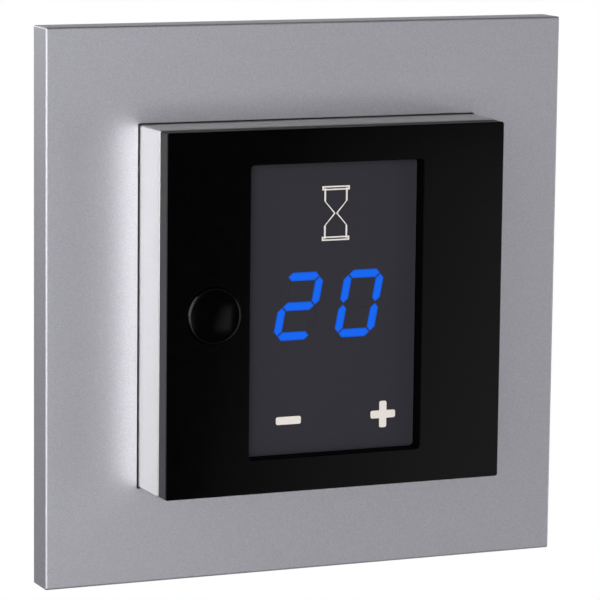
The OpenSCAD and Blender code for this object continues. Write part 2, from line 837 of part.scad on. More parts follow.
module terminal_screw(i) {
    color([0.75, 0.75, 0.72]) at([terminal_x[i], cage_z + cage_len / 2]) difference() {
        union() {
            rod(terminal_head_d, head_y, head_back_y);
            rod(terminal_screw_d, bar_back_y + seat_clear, head_y + terminal_head_t / 2);
        }
        slab(slot_w, terminal_head_d + cut, head_back_y - slot_depth, head_back_y + cut);
    }
}

module terminal_cage(i) {
    color([0.7, 0.71, 0.73]) at([terminal_x[i], cage_z + cage_len / 2]) difference() {
        slab(cage_w, cage_len, cage_y, cage_back_y);
        slab(cage_inner, cage_len + cut, cage_y + cage_floor, cage_back_y - cage_nut);
        rod(terminal_screw_d + 2 * seat_clear, cage_y + cage_floor, cage_back_y + cut);
    }
}

// Places a relay part by its distance from the relay's left end
module in_relay(distance) {
    at([relay_at[0] + distance, relay_at[1]]) children();
}

module relay_base() {
    color([0.2, 0.25, 0.5])
        in_relay(relay_l / 2) slab(relay_l, relay_w, power_back_y, relay_floor);
}

module relay_cover() {
    top_y = power_back_y + relay_h;
    color([0.2, 0.3, 0.65]) in_relay(relay_l / 2) difference() {
        slab(relay_l, relay_w, relay_floor, top_y);
        slab(relay_l - 2 * relay_wall, relay_w - 2 * relay_wall, relay_floor - cut,
            top_y - relay_wall);
    }
}

// A round bar along Z at the armature's pivot
module pivot_bar(diameter, length) {
    in_relay(pivot_at) translate([0, armature_y, -length / 2]) cylinder(h = length, d = diameter);
}

// The yoke lies under the coil and turns up beside it, with a groove for the pivot on its edge
module relay_yoke() {
    reach = leg_at + iron_t - coil_at;
    color([0.6, 0.6, 0.62]) difference() {
        union() {
            in_relay(coil_at) translate([-coil_d / 2, relay_floor, -armature_w / 2])
                cube([reach + coil_d / 2, iron_t, armature_w]);
            in_relay(leg_at) translate([0, relay_floor, -armature_w / 2])
                cube([iron_t, armature_y - free_clear / 2 - relay_floor, armature_w]);
        }
        pivot_bar(pivot_d + 2 * seat_clear, armature_w + cut);
    }
}

module relay_core() {
    color([0.65, 0.65, 0.66]) in_relay(coil_at) rod(core_d, bobbin_y, core_top_y);
}

module relay_bobbin() {
    coil_end = bobbin_y + flange_t + coil_len;
    color([0.85, 0.85, 0.8]) in_relay(coil_at) difference() {
        union() {
            rod(coil_d, bobbin_y, bobbin_y + flange_t);
            rod(coil_d, coil_end, coil_end + flange_t);
            rod(core_d + 2 * flange_t, bobbin_y, coil_end + flange_t);
        }
        rod(core_d + 2 * seat_clear, bobbin_y - cut, coil_end + flange_t + cut);
    }
}

module relay_winding() {
    from_y = bobbin_y + flange_t;
    color([0.75, 0.4, 0.2]) in_relay(coil_at) difference() {
        rod(coil_d - flange_t, from_y, from_y + coil_len);
        rod(core_d + 2 * flange_t + 2 * thread_clear, from_y - cut, from_y + coil_len + cut);
    }
}

module relay_armature() {
    left = coil_at - coil_d / 2;
    color([0.62, 0.62, 0.64]) union() {
        in_relay(left) translate([0, armature_y, -armature_w / 2])
            cube([leg_at + iron_t - left, armature_t, armature_w]);
        pivot_bar(pivot_d, armature_w);
    }
}

// A spring blade on the armature carries one contact for each pole
module relay_blade() {
    left = contact_at - contact_d / 2;
    root = coil_at - coil_d / 2;
    color([0.8, 0.6, 0.35]) union() {
        in_relay(root) translate([0, blade_y, -contact_spread - contact_d / 2])
            cube([coil_d / 2, blade_t, 2 * contact_spread + contact_d]);
        for (side = [-1, 1]) {
            in_relay(left) translate([0, blade_y, side * contact_spread - contact_d / 2])
                cube([root - left + cut, blade_t, contact_d]);
            in_relay(contact_at) at([0, side * contact_spread])
                rod(contact_d, blade_y - contact_t, blade_y + blade_t / 2);
        }
    }
}

module relay_contacts() {
    color([0.8, 0.65, 0.3]) in_relay(contact_at) for (side = [-1, 1])
        at([0, side * contact_spread]) union() {
            slab(contact_d, contact_d, relay_floor, fixed_contact_y - contact_t);
            rod(contact_d, fixed_contact_y - 2 * contact_t, fixed_contact_y);
        }
}

// Two outer legs and a middle leg between two yokes
module transformer_core() {
    top_y = power_back_y + transformer_h;
    color([0.25, 0.25, 0.27]) at(transformer_at) union() {
        slab(transformer_w, transformer_core_z, power_back_y, power_back_y + transformer_yoke);
        slab(transformer_w, transformer_core_z, top_y - transformer_yoke, top_y);
        for (x = [-1, 0, 1]) at([x * (transformer_w - leg_w) / 2, 0])
            slab(leg_w, transformer_core_z, power_back_y, top_y);
    }
}

module transformer_winding() {
    from_y = power_back_y + transformer_yoke;
    to_y = power_back_y + transformer_h - transformer_yoke;
    width = transformer_w - 2 * leg_w - 2 * slide_clear;
    build = (width - leg_w) / 2;
    color([0.8, 0.7, 0.2]) at(transformer_at) difference() {
        slab(width, transformer_core_z + 2 * build, from_y, to_y);
        slab(leg_w, transformer_core_z, from_y - cut, to_y + cut);
    }
}

module film_capacitor() {
    color([0.75, 0.6, 0.2])
        at(film_at) slab(film_l, film_w, power_back_y, power_back_y + film_h);
}

module storage_capacitor() {
    color([0.12, 0.15, 0.3]) at(can_at) rod(can_d, power_back_y, power_back_y + can_h);
}

module varistor() {
    middle_y = power_back_y + lead_stand + varistor_d / 2;
    color([0.15, 0.3, 0.65]) at(varistor_at) union() {
        translate([0, middle_y, -varistor_t / 2]) cylinder(h = varistor_t, d = varistor_d);
        for (side = [-1, 1]) at([side * varistor_d / 4, 0])
            slab(lead_w, lead_w, power_back_y, middle_y);
    }
}

module fuse() {
    middle_y = power_back_y + lead_stand + fuse_d / 2;
    color([0.8, 0.8, 0.82]) at(fuse_at) union() {
        translate([-fuse_l / 2, middle_y, 0]) rotate([0, 90, 0]) cylinder(h = fuse_l, d = fuse_d);
        for (side = [-1, 1]) at([side * (fuse_l - fuse_cap) / 2, 0]) {
            translate([-fuse_cap / 2, middle_y, 0]) rotate([0, 90, 0])
                cylinder(h = fuse_cap, d = fuse_d + 2 * fuse_cap_step);
            slab(lead_w, lead_w, power_back_y, middle_y);
        }
    }
}

cover_frame();
frame_clips();
mounting_plate();
block_skirt();
front_plate();
display_panel();
lit_segments();
unlit_segments();
hourglass_mark();
touch_marks();
push_button();
switch_plunger();
switch_body();
switch_dome();
display_board();
digit_reflector();
digit_leds();
touch_pads();
display_chips();
pin_header();
header_socket();
board_screws();
carrier();
carrier_screws();
rear_housing();
power_board();
power_board_screws();
wire_guides();
terminal_bars();
terminal_screw(0);  // terminal_screw_1
terminal_screw(1);  // terminal_screw_2
terminal_screw(2);  // terminal_screw_3
terminal_screw(3);  // terminal_screw_4
terminal_cage(0);  // terminal_cage_1
terminal_cage(1);  // terminal_cage_2
terminal_cage(2);  // terminal_cage_3
terminal_cage(3);  // terminal_cage_4
relay_base();
relay_cover();
relay_yoke();
relay_core();
relay_bobbin();
relay_winding();
relay_armature();
relay_blade();
relay_contacts();
transformer_core();
transformer_winding();
film_capacitor();
storage_capacitor();
varistor();
fuse();
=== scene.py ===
# A flush timer light switch, dressed piece by piece in the order in which it is put together.
# Lengths are in metres. X runs to the right, Y into the wall and Z up.
import math

import bmesh
import bpy
import numpy as np
from mathutils import Matrix, Vector


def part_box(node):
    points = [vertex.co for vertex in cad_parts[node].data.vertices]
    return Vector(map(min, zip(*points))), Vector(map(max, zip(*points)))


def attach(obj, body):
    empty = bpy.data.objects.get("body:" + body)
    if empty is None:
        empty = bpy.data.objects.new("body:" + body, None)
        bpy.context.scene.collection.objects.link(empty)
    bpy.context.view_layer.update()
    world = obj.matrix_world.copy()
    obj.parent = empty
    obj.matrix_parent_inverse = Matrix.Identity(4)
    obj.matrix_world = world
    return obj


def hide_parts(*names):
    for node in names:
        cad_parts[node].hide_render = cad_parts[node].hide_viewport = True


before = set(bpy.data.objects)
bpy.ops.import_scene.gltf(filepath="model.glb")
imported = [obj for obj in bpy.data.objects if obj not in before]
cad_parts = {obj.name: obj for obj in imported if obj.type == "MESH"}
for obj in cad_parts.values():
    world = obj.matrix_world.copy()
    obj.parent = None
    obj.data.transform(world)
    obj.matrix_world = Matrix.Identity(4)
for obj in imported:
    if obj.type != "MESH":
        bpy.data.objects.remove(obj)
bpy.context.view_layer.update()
mm = 0.001

# Camera
# It stands to the left of the switch and a little above it, with a long lens.
scene = bpy.context.scene
scene.view_settings.view_transform = "Standard"
camera_place = Vector((-216.91, -506.18, 84.48)) * mm
camera_azimuth = math.radians(23.303)
camera_elevation = math.radians(8.8265)
camera_roll = math.radians(0.65)
camera_data = bpy.data.cameras.new("camera")
camera_data.sensor_width = 36
camera_data.lens = 216.03
camera = bpy.data.objects.new("camera", camera_data)
scene.collection.objects.link(camera)
camera.matrix_world = (
    Matrix.Translation(camera_place)
    @ Matrix.Rotation(-camera_azimuth, 4, "Z")
    @ Matrix.Rotation(math.pi / 2 - camera_elevation, 4, "X")
    @ Matrix.Rotation(camera_roll, 4, "Z")
)
scene.camera = camera


# Light tent
# Cloth all round the switch, which the paint and the gloss mirror. Its bright parts are soft-edged
# patches, given in degrees of bearing and height. A dark field with a faint window in it is what
# the black front mirrors. The camera sees through the cloth to the white background.
def grid(points, wrap_rows=False, wrap_columns=False, skip=None):
    """Corners and faces of a grid of points, with a face in each cell but the skipped ones. Where
    a direction wraps, there are also faces between its last and first lines."""
    rows, columns = points.shape[:2]
    number = np.arange(rows * columns).reshape(rows, columns)
    if wrap_rows:
        number = np.concatenate([number, number[:1]], axis=0)
    if wrap_columns:
        number = np.concatenate([number, number[:, :1]], axis=1)
    cells = np.stack([number[:-1, :-1], number[1:, :-1], number[1:, 1:], number[:-1, 1:]], axis=-1)
    if skip is not None:
        cells = cells[~skip[:cells.shape[0], :cells.shape[1]]]
    return points.reshape(-1, 3), cells.reshape(-1, 4)


def joined(name, *parts):
    """One mesh of several sets of corners and faces."""
    starts = np.cumsum([0] + [len(corners) for corners, faces in parts])
    corners = np.concatenate([corners for corners, faces in parts])
    faces = np.concatenate([faces + start for (corners, faces), start in zip(parts, starts)])
    mesh = bpy.data.meshes.new(name)
    mesh.from_pydata(corners.tolist(), [], faces.tolist())
    return mesh


def stage_piece(mesh, material):
    """Puts a mesh of the studio into the scene."""
    mesh.materials.append(material)
    piece = bpy.data.objects.new(mesh.name, mesh)
    scene.collection.objects.link(piece)
    return piece


def between(value, low, high, edge):
    """1 from low to high, falling to 0 along a cubic over an edge on each side."""
    share = np.clip(np.minimum(value - low, high - value) / edge + 1, 0, 1)
    return share * share * (3 - 2 * share)


world = bpy.data.worlds.new("white_studio")
world.use_nodes = True
world.node_tree.nodes["Background"].inputs["Color"].default_value = (1, 1, 1, 1)
world.node_tree.nodes["Background"].inputs["Strength"].default_value = 1
scene.world = world

tent_radius = 1.3
tent_base = 0.07
field_glow = 0.02
window_start = 21
window_lean = 0.35
window_gain = 0.042
bearing, height = np.meshgrid(np.linspace(-180, 180, 481), np.linspace(-90, 90, 181), indexing="ij")
tent_parts = [
    (0.06, between(bearing, -60, 100, 20) * between(height, -40, 40, 10)),  # front
    (2.1, between(bearing, -46, -16, 9) * between(height, -14, 16, 7)),  # left belt
    (0.4, between(bearing, -68, -50, 8) * between(height, -10, 10, 7)),  # end of the left belt
    (1.8, between(bearing, -8, 5, 5) * between(height, -18, 8, 8)),  # column in the middle
    (1.5, between(bearing, 43, 60, 8) * between(height, -12, 2, 7)),  # right belt
    (0.3, between(bearing, 45, 100, 12) * between(height, -40, -22, 8)),  # low on the right
    (0.5, between(bearing, 115, 180, 10) * between(height, -5, 25, 8)),  # right behind
    (0.4, between(bearing % 360, 95, 185, 12) * between(height, -60, -14, 8)),  # low behind
    (1.6, between(bearing, -175, -130, 15) * between(height, 5, 25, 6)),  # left behind
    (0.5, between(bearing, -105, -88, 6) * between(height, -25, 25, 10)),  # far left
]
tent_glow = tent_base + sum(level * share for level, share in tent_parts)
dark_field = between(bearing, 8, 40, 3) * between(height, -26, 20, 3)
window_share = between(bearing, window_start, 29, 0.8) * between(height, -14, -6, 3)
window_glow = window_gain * np.clip(bearing - window_start - window_lean * (height + 8), 0, 7)
tent_glow = tent_glow * (1 - dark_field) + field_glow * dark_field + window_glow * window_share
turn = np.radians(bearing)
rise = np.radians(height)
tent_way = [np.sin(turn) * np.cos(rise), -np.cos(turn) * np.cos(rise), np.sin(rise)]
tent_points = np.stack(tent_way, axis=-1)
tent_mesh = joined("light_tent", grid(tent_points * tent_radius))
tent_mesh.attributes.new("glow", "FLOAT", "POINT").data.foreach_set("value", tent_glow.ravel())
cloth = bpy.data.materials.new("tent_cloth")
cloth.use_nodes = True
cloth_nodes = cloth.node_tree.nodes
cloth_nodes.remove(cloth_nodes["Principled BSDF"])
cloth_light = cloth_nodes.new("ShaderNodeEmission")
cloth_glow = cloth_nodes.new("ShaderNodeAttribute")
cloth_glow.attribute_name = "glow"
cloth_link = cloth.node_tree.links.new
cloth_link(cloth_glow.outputs["Fac"], cloth_light.inputs["Strength"])
cloth_link(cloth_light.outputs["Emission"], cloth_nodes["Material Output"].inputs["Surface"])
tent = stage_piece(tent_mesh, cloth)
tent.visible_camera = False
tent.visible_shadow = False


# Lamps and floor
# Softboxes light what is matt from the front, the left and behind. A tall strip on the left draws
# bright lines along the round edges of what is glossy. The pale floor lies below the tent and is
# white to the eye.
def lamp(name, place, width, length, power, for_gloss):
    """A lamp that faces the switch. It lights only what is glossy or only what is matt."""
    light = bpy.data.lights.new(name, "AREA")
    light.shape = "RECTANGLE"
    light.size = width
    light.size_y = length
    light.energy = power
    holder = bpy.data.objects.new(name, light)
    holder.location = place
    holder.rotation_euler = (-Vector(place)).to_track_quat("-Z", "Y").to_euler()
    holder.visible_glossy = for_gloss
    holder.visible_diffuse = not for_gloss
    scene.collection.objects.link(holder)


lamp("edge_strip", (-0.76, -0.31, 0.38), 0.16, 1.0, 3.8, True)
lamp("front_softbox", (-0.41, -0.95, 0.16), 0.6, 0.6, 6.4, False)
lamp("back_softbox", (0.55, 0.85, 0.35), 0.6, 0.6, 8.5, False)
lamp("side_softbox", (-0.9, 0.35, 0.3), 0.6, 0.6, 6.0, False)

floor_depth = -1.5
floor_half = 12.0
paper = bpy.data.materials.new("white_floor")
paper.use_nodes = True
paper_nodes = paper.node_tree.nodes
paper_link = paper.node_tree.links.new
paper_nodes["Principled BSDF"].inputs["Base Color"].default_value = (0.85, 0.85, 0.85, 1)
paper_nodes["Principled BSDF"].inputs["Roughness"].default_value = 0.9
paper_white = paper_nodes.new("ShaderNodeEmission")
paper_ray = paper_nodes.new("ShaderNodeLightPath")
paper_mirror = paper_nodes.new("ShaderNodeMath")
paper_mirror.operation = "MAXIMUM"
paper_seen = paper_nodes.new("ShaderNodeMath")
paper_seen.operation = "MAXIMUM"
paper_mix = paper_nodes.new("ShaderNodeMixShader")
paper_link(paper_ray.outputs["Is Glossy Ray"], paper_mirror.inputs[0])
paper_link(paper_ray.outputs["Is Transmission Ray"], paper_mirror.inputs[1])
paper_link(paper_ray.outputs["Is Camera Ray"], paper_seen.inputs[0])
paper_link(paper_mirror.outputs["Value"], paper_seen.inputs[1])
paper_link(paper_seen.outputs["Value"], paper_mix.inputs["Fac"])
paper_link(paper_nodes["Principled BSDF"].outputs["BSDF"], paper_mix.inputs[1])
paper_link(paper_white.outputs["Emission"], paper_mix.inputs[2])
paper_link(paper_mix.outputs["Shader"], paper_nodes["Material Output"].inputs["Surface"])
floor_line = np.linspace(-floor_half, floor_half, 3)
floor_x, floor_y = np.meshgrid(floor_line, floor_line, indexing="ij")
floor_points = np.stack([floor_x, floor_y, np.full_like(floor_x, floor_depth)], axis=-1)
stage_piece(joined("floor", grid(floor_points)), paper)


# Rear housing
# The grey box that goes into the wall, moulded in one piece from glass-filled nylon with a fine
# spark texture and soft edges. The mounting plate is screwed to its open front.
def finish(name, colour, spread=0.08, grain=0.3, rough=0.5, metal=0.0, relief=0.004, shine=0.5,
           stretch=(1, 1, 1)):
    """A material with fine grains: their noise moves the colour by a share, the roughness and the
    height. Grain and relief are in millimetres. Shine is the strength of the clear reflection, and
    a stretch below 1 draws the grains out that way."""
    material = bpy.data.materials.new(name)
    material.use_nodes = True
    nodes = material.node_tree.nodes
    link = material.node_tree.links.new
    shader = nodes["Principled BSDF"]
    shader.inputs["Metallic"].default_value = metal
    shader.inputs["Specular IOR Level"].default_value = shine
    place = nodes.new("ShaderNodeTexCoord")
    place.name = "place"
    drawn = nodes.new("ShaderNodeMapping")
    drawn.inputs["Scale"].default_value = stretch
    grains = nodes.new("ShaderNodeTexNoise")
    grains.name = "grains"
    grains.inputs["Scale"].default_value = 1 / (grain * mm)
    grains.inputs["Detail"].default_value = 3
    tones = nodes.new("ShaderNodeValToRGB")
    tones.name = "tones"
    for element, share, position in zip(tones.color_ramp.elements, (1 - spread, 1 + spread), (0.3, 0.7)):
        element.color = [min(part * share, 1) for part in colour] + [1]
        element.position = position
    dull = nodes.new("ShaderNodeMapRange")
    dull.inputs["To Min"].default_value = max(rough - 0.05, 0.02)
    dull.inputs["To Max"].default_value = rough + 0.05
    lift = nodes.new("ShaderNodeBump")
    lift.name = "lift"
    lift.inputs["Distance"].default_value = relief * mm
    link(place.outputs["Object"], drawn.inputs["Vector"])
    link(drawn.outputs["Vector"], grains.inputs["Vector"])
    link(grains.outputs["Fac"], tones.inputs["Fac"])
    link(grains.outputs["Fac"], dull.inputs["Value"])
    link(grains.outputs["Fac"], lift.inputs["Height"])
    link(tones.outputs["Color"], shader.inputs["Base Color"])
    link(dull.outputs["Result"], shader.inputs["Roughness"])
    link(lift.outputs["Normal"], shader.inputs["Normal"])
    return material


sharp_edge = math.radians(35)


def place_piece(mesh, material, body, node):
    """Puts a mesh on its body with its finish, in place of the solid that it dresses."""
    mesh.shade_smooth()
    mesh.set_sharp_from_angle(angle=sharp_edge)
    mesh.materials.clear()
    mesh.materials.append(material)
    piece = bpy.data.objects.new(mesh.name, mesh)
    scene.collection.objects.link(piece)
    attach(piece, body)
    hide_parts(node)
    return piece


def merged_copy(node):
    """A copy of a solid's mesh with its doubles merged and its flat faces made whole."""
    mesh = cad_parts[node].data.copy()
    mesh.name = node + "_soft"
    if "custom_normal" in mesh.attributes:
        mesh.attributes.remove(mesh.attributes["custom_normal"])
    work = bmesh.new()
    work.from_mesh(mesh)
    bmesh.ops.remove_doubles(work, verts=work.verts, dist=0.001 * mm)
    bmesh.ops.dissolve_limit(work, angle_limit=math.radians(0.5), verts=work.verts, edges=work.edges)
    bmesh.ops.recalc_face_normals(work, faces=work.faces)
    work.to_mesh(mesh)
    work.free()
    return mesh


def soften(node, width, material, body):
    """A solid with rounded edges: a bevel, whose width is in millimetres, runs along every sharp
    edge."""
    piece = place_piece(merged_copy(node), material, body, node)
    edge = piece.modifiers.new("soft_edges", "BEVEL")
    edge.width = width * mm
    edge.segments = 2
    edge.limit_method = "ANGLE"
    edge.angle_limit = sharp_edge
    edge.harden_normals = True


housing_plastic = finish("housing_plastic", (0.60, 0.60, 0.58), grain=0.25, rough=0.55, relief=0.012)
soften("rear_housing", 0.25, housing_plastic, "base")

# Wire guides
# Four darker nylon inserts, pushed from inside into the housing's bottom wall as far as their
# flange. They lead the wires into the clamps.
soften("wire_guides", 0.15, finish("guide_plastic", (0.30, 0.31, 0.32), rough=0.45), "base")


# Wire terminals
# For each of the four wires a drawn brass bar on the power board, a zinc-plated cage that clamps
# the wire against it, and a slotted steel screw in the cage.
def wear(material, *nodes):
    """Puts a finish on solids that keep their own shape."""
    for node in nodes:
        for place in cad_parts[node].material_slots:
            place.material = material


drawn_brass = finish("drawn_brass", (0.62, 0.44, 0.18), rough=0.28, metal=1.0, stretch=(1, 0.05, 1))
zinc_plate = finish("zinc_plate", (0.60, 0.61, 0.63), spread=0.12, grain=0.7, rough=0.34, metal=1.0)
screw_steel = finish("screw_steel", (0.56, 0.56, 0.57), grain=0.2, rough=0.3, metal=1.0,
                     stretch=(1, 0.1, 1))
wear(drawn_brass, "terminal_bars")
wear(zinc_plate, "terminal_cage_1", "terminal_cage_2", "terminal_cage_3", "terminal_cage_4")
wear(screw_steel, "terminal_screw_1", "terminal_screw_2", "terminal_screw_3", "terminal_screw_4")


# Power board
# Glass fibre with green lacquer over copper tracks, which show as long paler lines. Self-tapping
# screws hold the board in the housing.
def overlay(material, factor, colour):
    """Blends a second colour into a finish where the factor is high."""
    nodes = material.node_tree.nodes
    blend = nodes.new("ShaderNodeMix")
    blend.data_type = "RGBA"
    first, second, result = blend.inputs[6], blend.inputs[7], blend.outputs[2]
    second.default_value = (*colour, 1)
    material.node_tree.links.new(factor, blend.inputs["Factor"])
    material.node_tree.links.new(nodes["tones"].outputs["Color"], first)
    material.node_tree.links.new(result, nodes["Principled BSDF"].inputs["Base Color"])


track_field = 9 * mm
board_lacquer = finish("board_lacquer", (0.012, 0.10, 0.045), spread=0.15, grain=1.2, rough=0.3)
board_nodes = board_lacquer.node_tree.nodes
board_link = board_lacquer.node_tree.links.new
board_turn = board_nodes.new("ShaderNodeMapping")
board_turn.inputs["Rotation"].default_value = (math.pi / 2, 0, 0)
board_tracks = board_nodes.new("ShaderNodeTexBrick")
board_tracks.inputs["Scale"].default_value = 1 / track_field
board_tracks.inputs["Brick Width"].default_value = 1.7
board_tracks.inputs["Row Height"].default_value = 0.14
board_tracks.inputs["Mortar Size"].default_value = 0.025
board_link(board_nodes["place"].outputs["Object"], board_turn.inputs["Vector"])
board_link(board_turn.outputs["Vector"], board_tracks.inputs["Vector"])
overlay(board_lacquer, board_tracks.outputs["Fac"], (0.03, 0.20, 0.08))
wear(board_lacquer, "power_board")
wear(screw_steel, "power_board_screws")

# Relay
# A blue case with an iron yoke, core and armature inside, a nylon bobbin wound with copper wire,
# and a brass blade on the armature that closes both contacts.
relay_case = finish("relay_case", (0.03, 0.07, 0.24), rough=0.3)
relay_iron = finish("relay_iron", (0.46, 0.46, 0.48), rough=0.4, metal=1.0)
wear(relay_case, "relay_base")
soften("relay_cover", 0.3, relay_case, "base")
wear(relay_iron, "relay_yoke", "relay_core", "relay_armature")
wear(drawn_brass, "relay_blade", "relay_contacts")
wear(finish("bobbin_nylon", (0.70, 0.69, 0.62)), "relay_bobbin")
wire_pitch = 0.2 * mm
copper_wire = finish("copper_wire", (0.50, 0.20, 0.08), rough=0.3, metal=1.0, relief=0.05)
copper_turns = copper_wire.node_tree.nodes.new("ShaderNodeTexWave")
copper_turns.bands_direction = "Y"
copper_turns.inputs["Scale"].default_value = math.pi / 10 / wire_pitch
copper_link = copper_wire.node_tree.links.new
copper_link(copper_wire.node_tree.nodes["place"].outputs["Object"], copper_turns.inputs["Vector"])
copper_link(copper_turns.outputs["Fac"], copper_wire.node_tree.nodes["lift"].inputs["Height"])
overlay(copper_wire, copper_turns.outputs["Fac"], (0.62, 0.28, 0.12))
wear(copper_wire, "relay_winding")

# Power supply
# A small transformer with a ferrite core, a boxed film capacitor, a sleeved storage capacitor, a
# dipped varistor and a glass fuse with metal caps, all soldered to the power board.
yellow_tape = finish("yellow_tape", (0.62, 0.43, 0.05), rough=0.35, stretch=(1, 0.1, 1))
wear(finish("ferrite", (0.04, 0.04, 0.045), spread=0.3, rough=0.6), "transformer_core")
wear(yellow_tape, "transformer_winding")
soften("film_capacitor", 0.3, yellow_tape, "base")
wear(finish("can_sleeve", (0.012, 0.016, 0.05), rough=0.3), "storage_capacitor")
wear(finish("varistor_glaze", (0.02, 0.08, 0.34), rough=0.35), "varistor")
wear(finish("fuse_glass", (0.62, 0.62, 0.63), rough=0.2), "fuse")

# Mounting plate
# Zinc-plated sheet steel, punched and bent, with lugs for the frame's clips. Two screws through its
# holes hold it on the wall box.
soften("mounting_plate", 0.1, zinc_plate, "base")

# Carrier
# A black moulded chassis in front of the mounting plate. Four long screws through both reach the
# housing, and the skirt snaps on its lugs.
black_moulding = finish("black_moulding", (0.02, 0.02, 0.022), rough=0.5)
soften("carrier", 0.15, black_moulding, "base")
wear(screw_steel, "carrier_screws")

# Display board
# The second board, screwed to the front plate's posts. It carries the diodes in their reflector,
# foam pads for the touch fields, chips, and the pins that reach the power board.
chip_case = finish("chip_case", (0.015, 0.015, 0.016), rough=0.5)
wear(board_lacquer, "display_board")
wear(screw_steel, "board_screws")
wear(chip_case, "display_chips", "pin_header", "header_socket")
wear(finish("reflector_plastic", (0.75, 0.75, 0.74)), "digit_reflector")
wear(finish("diode_lens", (0.80, 0.72, 0.42), rough=0.25), "digit_leds")
wear(finish("foam", (0.02, 0.02, 0.02), spread=0.3, grain=0.5, rough=0.9, relief=0.05), "touch_pads")

# Key switch
# A black body, soldered to the display board, with a spring dome in it and a cream plunger, which
# the button's stem pushes.
spring_steel = finish("spring_steel", (0.50, 0.51, 0.53), rough=0.28, metal=1.0)
wear(black_moulding, "switch_body")
wear(spring_steel, "switch_dome")
wear(finish("plunger_nylon", (0.62, 0.58, 0.48)), "switch_plunger")


# Front plate
# The black front of the block, with the display's window and the button's hole: polished in front,
# satin on its sides and matt in the window, whose walls reflect almost nothing: that is painted
# shade for the recess. A spigot behind it fits into the skirt, and four posts carry the display board.
def round_corners(points, radii, steps=5, guard=0.04 * mm):
    """The corners of a closed outline, each as a row of points: an arc from the one tangent point
    to the other round a centre on the corner's middle line, with a guard point before and after
    it that keeps the flats flat."""
    corner = np.asarray(points, float)
    radius = np.asarray(radii, float)[:, None]
    before = np.roll(corner, 1, axis=0) - corner
    after = np.roll(corner, -1, axis=0) - corner
    before /= np.linalg.norm(before, axis=1, keepdims=True)
    after /= np.linalg.norm(after, axis=1, keepdims=True)
    half = np.arccos(np.sum(before * after, axis=1, keepdims=True)) / 2
    reach = radius / np.tan(half)
    middle = (before + after) / np.linalg.norm(before + after, axis=1, keepdims=True)
    centre = (corner + middle * radius / np.sin(half))[:, None]
    first = (corner + before * reach)[:, None] - centre
    last = (corner + after * reach)[:, None] - centre
    swing = (math.pi - 2 * half)[:, None]
    share = np.linspace(0, 1, steps)[None, :, None]
    arc = centre + (np.sin((1 - share) * swing) * first + np.sin(share * swing) * last) / np.sin(swing)
    lead = (corner + before * (reach + guard))[:, None]
    trail = (corner + after * (reach + guard))[:, None]
    return np.concatenate([lead, arc, trail], axis=1)


def ring_stops(marks=(), steps=6, guard=0.04 * mm):
    """The stops along a rounded square from the middle of its right side, as seen from the front:
    marks on the side, a corner arc between two guards, and the same on the other three sides. A
    stop is the corner's signs, the arc's cosine and sine, a shift along the side, and a fixed x or
    z where it is a mark."""
    marks = np.asarray(marks, float)
    arc = np.concatenate([[0], np.linspace(0, math.pi / 2, steps), [math.pi / 2]])
    shift = np.zeros((2, steps + 2))
    shift[1, 0] = -guard
    shift[0, -1] = -guard
    quarters = []
    for right, up in ((1, 0), (0, 1), (-1, 0), (0, -1)):
        sign = np.array([right - up, right + up], float)
        on_side = np.full((8, len(marks)), np.nan)
        on_side[0:2] = sign[:, None]
        on_side[2:6] = np.array([right, up, 0, 0], float)[:, None]
        on_side[7 if right else 6] = marks * (right - up)
        at_corner = np.full((8, steps + 2), np.nan)
        at_corner[0:2] = sign[:, None]
        at_corner[2] = right * np.cos(arc) - up * np.sin(arc)
        at_corner[3] = up * np.cos(arc) + right * np.sin(arc)
        at_corner[4] = right * shift[0] - up * shift[1]
        at_corner[5] = up * shift[0] + right * shift[1]
        quarters += [on_side, at_corner]
    return np.concatenate(quarters, axis=1)


def ring(half_x, half_z, corner, y, stops):
    """Points of a section carried round a rounded rectangle. At each station the rectangle has
    its own half widths, corner radius and depth."""
    sign_x, sign_z, cosine, sine, shift_x, shift_z, fixed_x, fixed_z = stops[:, None, :]
    radius = np.broadcast_to(corner, half_x.shape)[:, None]
    x = sign_x * (half_x[:, None] - radius) + radius * cosine + shift_x
    z = sign_z * (half_z[:, None] - radius) + radius * sine + shift_z
    x = np.where(np.isnan(fixed_x), x, fixed_x)
    z = np.where(np.isnan(fixed_z), z, fixed_z)
    return np.stack([x, np.broadcast_to(y[:, None], x.shape), z], axis=-1)


def rim(points, rows, columns):
    """The points round a block of a grid's cells, in order."""
    along = [(row, columns[0]) for row in rows[:-1]] + [(rows[-1], column) for column in columns[:-1]]
    back = [(row, columns[-1]) for row in rows[:0:-1]] + [(rows[0], column) for column in columns[:0:-1]]
    return np.array([points[place] for place in along + back])


def turned(profile, centre, steps=96, lug=None):
    """Points of a profile of radii and depths turned round a line along Y. Where a row has a lug,
    its radius grows by that much over the part of the turn that is narrower than the lug."""
    angle = np.linspace(0, 2 * math.pi, steps, endpoint=False)[None, :]
    radius, y = np.asarray(profile, float).T[:, :, None]
    radius = np.broadcast_to(radius, (len(profile), steps))
    if lug is not None:
        width, growth = lug
        radius = radius + growth[:, None] * (np.abs(np.cos(angle)) * radius < width / 2)
    x = centre[0] + radius * np.cos(angle)
    z = centre[1] + radius * np.sin(angle)
    return np.stack([x, np.broadcast_to(y, x.shape), z], axis=-1)


def shell(name, material, body, slot, node, *parts):
    """A piece from sets of corners and faces: merged, turned outwards and placed."""
    mesh = joined(name, *parts)
    work = bmesh.new()
    work.from_mesh(mesh)
    bmesh.ops.remove_doubles(work, verts=work.verts, dist=0.0005 * mm)
    bmesh.ops.recalc_face_normals(work, faces=work.faces)
    work.to_mesh(mesh)
    work.free()
    return place_piece(mesh, material, body, node)


